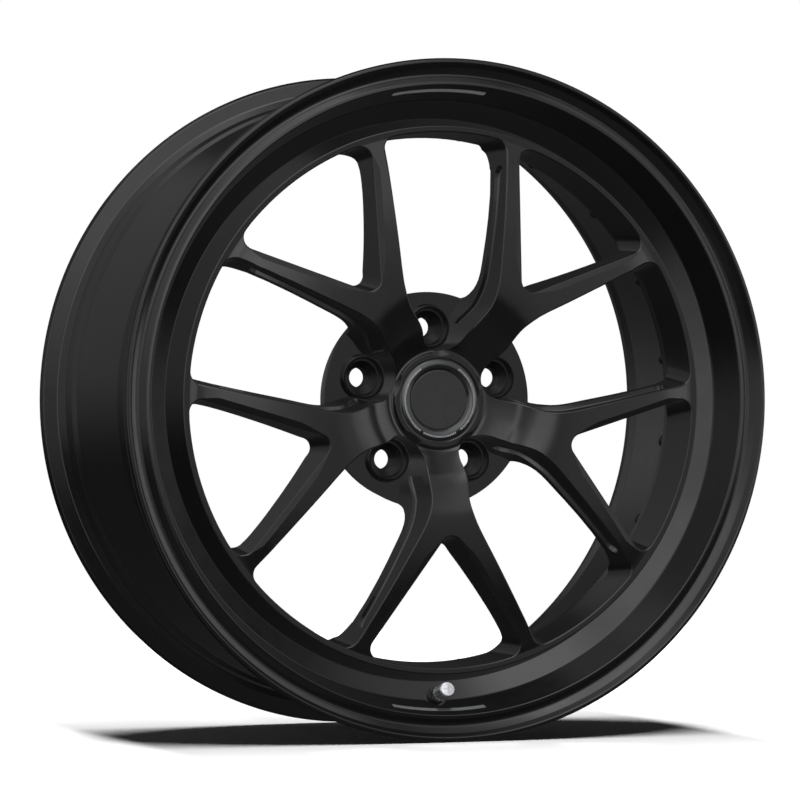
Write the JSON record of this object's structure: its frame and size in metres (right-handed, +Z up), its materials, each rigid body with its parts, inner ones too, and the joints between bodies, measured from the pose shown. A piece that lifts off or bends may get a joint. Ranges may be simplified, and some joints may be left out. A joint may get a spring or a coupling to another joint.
{
  "type": "road wheel rim",
  "caption": "Forged multi-piece road wheel with forked spokes, a stepped lip, a deep barrel, a snap-in centre cap and a capped tyre valve",
  "frame": {"origin": "centre of the wheel on its spin axis, half way between the two flange crests", "axes": "+Y is the spin axis pointing inboard, so the spoked face looks along -Y; +Z is up; the valve is at the bottom"},
  "size_m": [0.5172, 0.2404, 0.5172],
  "materials": {
    "forged_alloy": "forged and machined aluminium with a satin black powder coat",
    "black_rubber": "moulded black rubber",
    "black_plastic": "fine matte moulded plastic",
    "seat_steel": "machined steel, dark plated",
    "bolt_steel": "zinc plated steel",
    "cap_metal": "polished and dark anodised",
    "valve_bright": "bright turned aluminium",
    "valve_black": "black anodised",
    "valve_brass": "plain brass",
    "stripe_paint": "thin adhesive film, pale grey"
  },
  "bodies": {
    "wheel": {"centre_disc": "forged_alloy", "outer_rim": "forged_alloy", "inner_rim": "forged_alloy", "rim_seal": "black_rubber", "hub_ring": "black_plastic", "lug_seat_1": "seat_steel", "lug_seat_2": "seat_steel", "lug_seat_3": "seat_steel", "lug_seat_4": "seat_steel", "lug_seat_5": "seat_steel", "assembly_bolt_01": "bolt_steel", "assembly_bolt_02": "bolt_steel", "assembly_bolt_03": "bolt_steel", "assembly_bolt_04": "bolt_steel", "assembly_bolt_05": "bolt_steel", "assembly_bolt_06": "bolt_steel", "assembly_bolt_07": "bolt_steel", "assembly_bolt_08": "bolt_steel", "assembly_bolt_09": "bolt_steel", "assembly_bolt_10": "bolt_steel", "assembly_bolt_11": "bolt_steel", "assembly_bolt_12": "bolt_steel", "assembly_bolt_13": "bolt_steel", "assembly_bolt_14": "bolt_steel", "assembly_bolt_15": "bolt_steel", "assembly_bolt_16": "bolt_steel", "assembly_bolt_17": "bolt_steel", "assembly_bolt_18": "bolt_steel", "assembly_bolt_19": "bolt_steel", "assembly_bolt_20": "bolt_steel", "valve_stem": "valve_black", "valve_grommet": "black_rubber", "valve_seal": "black_rubber", "valve_washer": "valve_black", "valve_nut": "valve_black", "valve_core": "valve_brass", "valve_spring": "bolt_steel", "stripe_top": "stripe_paint", "stripe_bottom": "stripe_paint"},
    "centre_cap": {"cap_body": "black_plastic", "cap_ring": "cap_metal", "cap_plate": "black_plastic", "cap_spring": "bolt_steel"},
    "valve_cap": {"valve_cap": "valve_bright", "valve_cap_seal": "black_rubber"},
    "valve_pin": {"valve_pin": "valve_brass"}
  },
  "joints": [
    {"name": "centre_cap_pull", "type": "slide", "parent": "wheel", "child": "centre_cap", "axis": [0, -1, 0], "range_m": [0, 0.04]},
    {"name": "valve_cap_lift", "type": "slide", "parent": "wheel", "child": "valve_cap", "axis": [0.0026, -0.9681, 0.2504], "range_m": [0, 0.03]},
    {"name": "valve_pin_press", "type": "slide", "parent": "wheel", "child": "valve_pin", "axis": [-0.0026, 0.9681, -0.2504], "range_m": [0, 0.0015], "stiffness_N_per_m": 300, "springref_m": -0.001}
  ]
}
